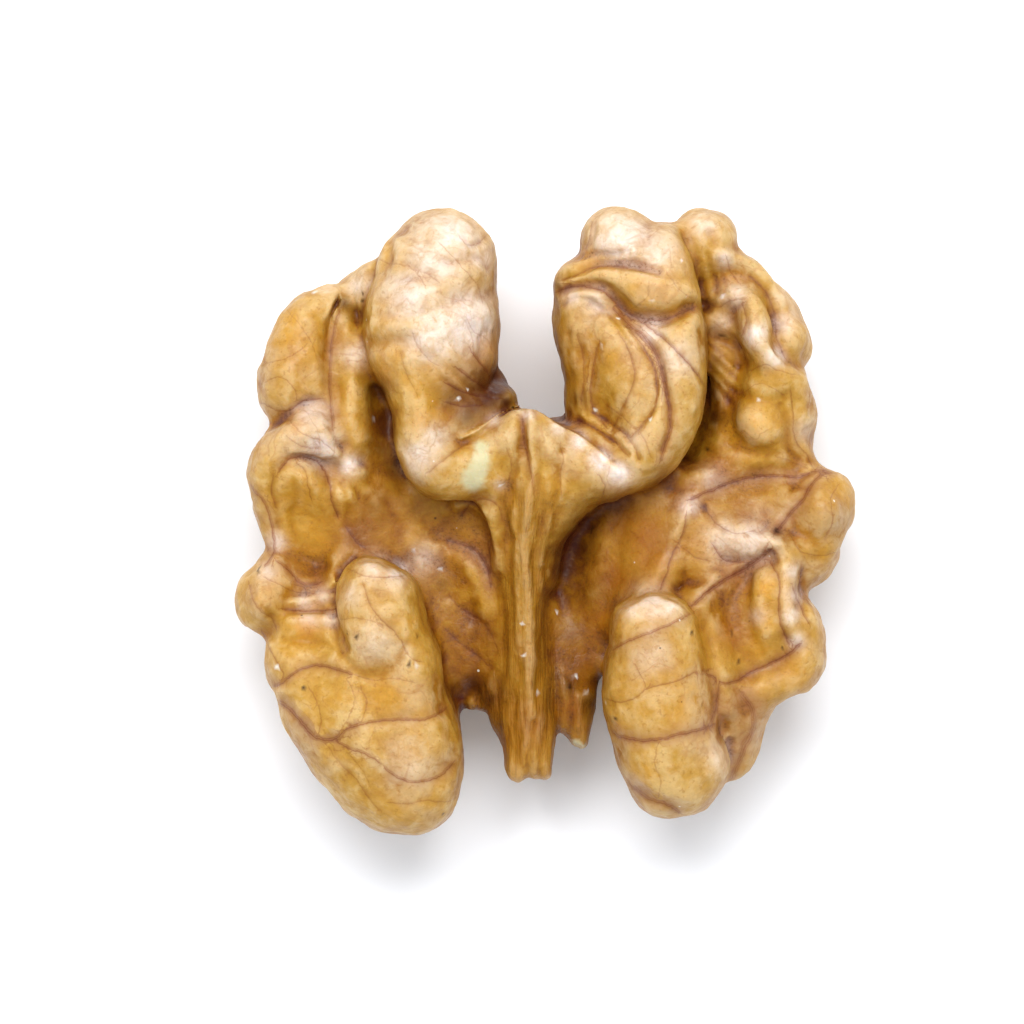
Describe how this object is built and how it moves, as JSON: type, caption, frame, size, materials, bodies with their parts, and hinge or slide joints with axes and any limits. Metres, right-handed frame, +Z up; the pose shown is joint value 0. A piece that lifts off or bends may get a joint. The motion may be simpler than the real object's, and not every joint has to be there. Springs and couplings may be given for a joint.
{
  "type": "walnut kernel",
  "caption": "Half of a shelled walnut kernel, lying on its rounded side with its folded inner side, bridge and torn middle stem facing up.",
  "frame": {"origin": "middle of the kernel's plan box, on the surface that it lies on", "axes": "+X to the right and +Y towards the open notch as the inner side is seen from above, +Z up out of the inner side"},
  "size_m": [0.0312, 0.0316, 0.0139],
  "materials": {
    "kernel_skin": "waxy golden-brown skin with darker veins in the folds and paler crests, satin"
  },
  "bodies": {
    "root": {"walnut_kernel": "kernel_skin"}
  },
  "joints": []
}
